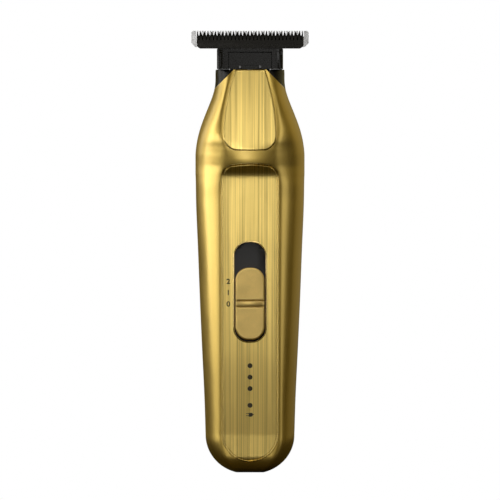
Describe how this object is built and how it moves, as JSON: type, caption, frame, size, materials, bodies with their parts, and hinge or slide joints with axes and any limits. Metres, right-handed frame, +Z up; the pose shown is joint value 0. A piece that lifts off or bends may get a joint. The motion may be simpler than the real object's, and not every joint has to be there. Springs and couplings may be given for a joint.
{
  "type": "hair clipper",
  "caption": "Cordless hair trimmer with a wide T-shaped blade, a sliding switch on a brushed front panel and a lift-off blade block.",
  "frame": {"origin": "centre of the trimmer's box at its foot, the surface it stands on", "axes": "+Z up along the body to the blade's teeth, front with the switch faces -Y, +X to the viewer's right"},
  "size_m": [0.0442, 0.0374, 0.166],
  "materials": {
    "gold_lacquer": "satin metallic gold lacquer over moulded plastic",
    "brushed_gold": "brushed along its length, gold anodised",
    "knob_gold": "satin gold anodised",
    "black_plastic": "fine matte texture",
    "dark_plastic": "smooth dark grey",
    "inner_plastic": "moulded, unpainted",
    "blade_steel": "ground stainless steel",
    "black_steel": "thin hard black coating on ground steel",
    "smoky_lens": "smoky clear light guide",
    "led": "clear chip",
    "board": "green solder mask",
    "copper": "enamelled copper wire",
    "brass": "plated contact",
    "laminations": "stacked steel sheet",
    "magnet": "nickel plated",
    "spring_steel": "blued spring strip",
    "zinc": "die cast",
    "screw_steel": "plated",
    "cell_wrap": "shrink wrapped metal can",
    "seal_rubber": "soft moulded rubber"
  },
  "bodies": {
    "body": {"front_housing": "gold_lacquer", "rear_housing": "gold_lacquer", "front_panel": "brushed_gold", "top_face_plate": "brushed_gold", "battery_level_lenses": "smoky_lens", "charging_lens": "smoky_lens", "switch_bed": "dark_plastic", "inner_chassis": "inner_plastic", "battery_cell": "cell_wrap", "battery_tabs": "brass", "circuit_board": "board", "board_screws": "screw_steel", "status_leds": "led", "slide_switch_case": "zinc", "detent_spring": "spring_steel", "charging_inlet": "dark_plastic", "inlet_pin": "brass", "inlet_seal": "seal_rubber", "motor_frame": "zinc", "motor_screws": "screw_steel", "stator_core": "laminations", "coil_bobbin": "inner_plastic", "motor_coil": "copper", "flexure_springs": "spring_steel", "neck_collar": "black_plastic", "neck_seal": "seal_rubber", "housing_screws": "screw_steel", "block_clips": "spring_steel"},
    "switch": {"switch_knob": "knob_gold", "switch_carrier": "inner_plastic", "slide_switch_lever": "inner_plastic"},
    "mover": {"mover_magnets": "magnet", "mover_yoke": "laminations", "drive_arm": "zinc", "drive_pin": "spring_steel"},
    "blade_block": {"blade_block_frame": "black_plastic", "blade_block_cover": "black_plastic", "block_pegs": "zinc", "fixed_blade": "blade_steel", "blade_screws": "screw_steel", "tension_spring": "spring_steel"},
    "cutter": {"cutter_blade": "black_steel", "cutter_follower": "inner_plastic"}
  },
  "joints": [
    {"name": "switch_slide", "type": "slide", "parent": "body", "child": "switch", "axis": [0, 0, 1], "range_m": [0, 0.0086]},
    {"name": "mover_slide", "type": "slide", "parent": "body", "child": "mover", "axis": [1, 0, 0], "range_m": [-0.0012, 0.0012], "stiffness_N_per_m": 2000, "deforming": ["flexure_springs"]},
    {"name": "blade_block_release", "type": "slide", "parent": "body", "child": "blade_block", "axis": [0, 0, 1], "range_m": [0, 0.02]},
    {"name": "cutter_slide", "type": "slide", "parent": "blade_block", "child": "cutter", "axis": [1, 0, 0], "range_m": [-0.0012, 0.0012]}
  ],
  "couplings": [
    {"joint": "cutter_slide", "follows": "mover_slide", "ratio": 1}
  ]
}
